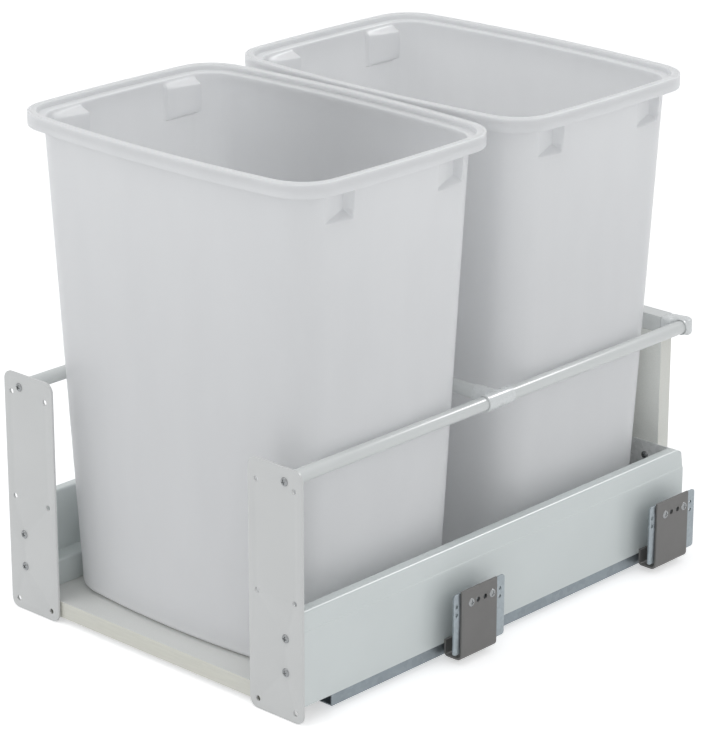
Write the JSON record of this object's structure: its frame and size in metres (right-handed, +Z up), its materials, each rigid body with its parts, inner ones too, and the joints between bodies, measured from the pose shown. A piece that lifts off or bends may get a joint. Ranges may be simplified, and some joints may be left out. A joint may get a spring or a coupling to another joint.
{
  "type": "pull out waste bin unit",
  "caption": "Pull-out waste unit for a base cabinet: steel-sided drawer on telescopic runners, with door brackets, wall brackets, gallery rails and lift-out plastic bins.",
  "frame": {"origin": "centre of the footprint, at the height of the lower edges of the door brackets", "axes": "+X to the unit's right side, -Y to the front, where the drawer pulls out, +Z up"},
  "size_m": [0.419, 0.5596, 0.4783],
  "materials": {
    "paint": "light grey powder coat, satin",
    "laminate": "light grey laminated board",
    "zinc": "zinc plated steel",
    "taupe": "dark grey-brown paint, satin",
    "screw_steel": "bright plated steel",
    "bin_plastic": "off-white polypropylene, satin",
    "rail_plastic": "light grey moulded plastic",
    "cage_plastic": "grey moulded plastic with steel balls"
  },
  "bodies": {
    "cabinet_side": {"left_cabinet_rail": "zinc", "right_cabinet_rail": "zinc", "left_front_wall_bracket": "taupe", "right_front_wall_bracket": "taupe", "left_rear_wall_bracket": "taupe", "right_rear_wall_bracket": "taupe", "left_front_zinc_plate": "zinc", "right_front_zinc_plate": "zinc", "left_rear_zinc_plate": "zinc", "right_rear_zinc_plate": "zinc", "left_front_plate_screw_front": "screw_steel", "left_front_plate_screw_rear": "screw_steel", "right_front_plate_screw_front": "screw_steel", "right_front_plate_screw_rear": "screw_steel", "left_rear_plate_screw_front": "screw_steel", "left_rear_plate_screw_rear": "screw_steel", "right_rear_plate_screw_front": "screw_steel", "right_rear_plate_screw_rear": "screw_steel"},
    "drawer": {"bottom_board": "laminate", "back_panel": "laminate", "left_side_profile": "paint", "right_side_profile": "paint", "left_door_bracket": "paint", "right_door_bracket": "paint", "left_side_rail": "paint", "right_side_rail": "paint", "cross_rail": "paint", "rear_rail": "paint", "left_tee_connector": "rail_plastic", "right_tee_connector": "rail_plastic", "left_corner_connector": "rail_plastic", "right_corner_connector": "rail_plastic", "left_back_bracket": "zinc", "right_back_bracket": "zinc", "left_drawer_rail": "zinc", "right_drawer_rail": "zinc", "left_rail_screw": "screw_steel", "right_rail_screw": "screw_steel", "left_side_screw_low": "screw_steel", "left_side_screw_high": "screw_steel", "right_side_screw_low": "screw_steel", "right_side_screw_high": "screw_steel", "left_board_screw_front": "screw_steel", "left_board_screw_rear": "screw_steel", "right_board_screw_front": "screw_steel", "right_board_screw_rear": "screw_steel", "left_panel_screw_low": "screw_steel", "left_panel_screw_high": "screw_steel", "right_panel_screw_low": "screw_steel", "right_panel_screw_high": "screw_steel"},
    "left_middle": {"left_middle_rail": "zinc"},
    "right_middle": {"right_middle_rail": "zinc"},
    "left_outer_cage": {"left_outer_ball_cage": "cage_plastic"},
    "right_outer_cage": {"right_outer_ball_cage": "cage_plastic"},
    "left_inner_cage": {"left_inner_ball_cage": "cage_plastic"},
    "right_inner_cage": {"right_inner_ball_cage": "cage_plastic"},
    "front_bin_body": {"front_bin": "bin_plastic"},
    "rear_bin_body": {"rear_bin": "bin_plastic"}
  },
  "joints": [
    {"name": "drawer_slide", "type": "slide", "parent": "cabinet_side", "child": "drawer", "axis": [0, -1, 0], "range_m": [0, 0.48]},
    {"name": "left_middle_slide", "type": "slide", "parent": "cabinet_side", "child": "left_middle", "axis": [0, -1, 0], "range_m": [0, 0.24]},
    {"name": "right_middle_slide", "type": "slide", "parent": "cabinet_side", "child": "right_middle", "axis": [0, -1, 0], "range_m": [0, 0.24]},
    {"name": "left_outer_cage_slide", "type": "slide", "parent": "cabinet_side", "child": "left_outer_cage", "axis": [0, -1, 0], "range_m": [0, 0.12]},
    {"name": "right_outer_cage_slide", "type": "slide", "parent": "cabinet_side", "child": "right_outer_cage", "axis": [0, -1, 0], "range_m": [0, 0.12]},
    {"name": "left_inner_cage_slide", "type": "slide", "parent": "cabinet_side", "child": "left_inner_cage", "axis": [0, -1, 0], "range_m": [0, 0.36]},
    {"name": "right_inner_cage_slide", "type": "slide", "parent": "cabinet_side", "child": "right_inner_cage", "axis": [0, -1, 0], "range_m": [0, 0.36]},
    {"name": "front_bin_lift", "type": "slide", "parent": "drawer", "child": "front_bin_body", "axis": [0, 0, 1], "range_m": [0, 0.48]},
    {"name": "rear_bin_lift", "type": "slide", "parent": "drawer", "child": "rear_bin_body", "axis": [0, 0, 1], "range_m": [0, 0.48]}
  ],
  "couplings": [
    {"joint": "left_middle_slide", "follows": "drawer_slide", "ratio": 0.5},
    {"joint": "right_middle_slide", "follows": "drawer_slide", "ratio": 0.5},
    {"joint": "left_outer_cage_slide", "follows": "drawer_slide", "ratio": 0.25},
    {"joint": "right_outer_cage_slide", "follows": "drawer_slide", "ratio": 0.25},
    {"joint": "left_inner_cage_slide", "follows": "drawer_slide", "ratio": 0.75},
    {"joint": "right_inner_cage_slide", "follows": "drawer_slide", "ratio": 0.75}
  ]
}
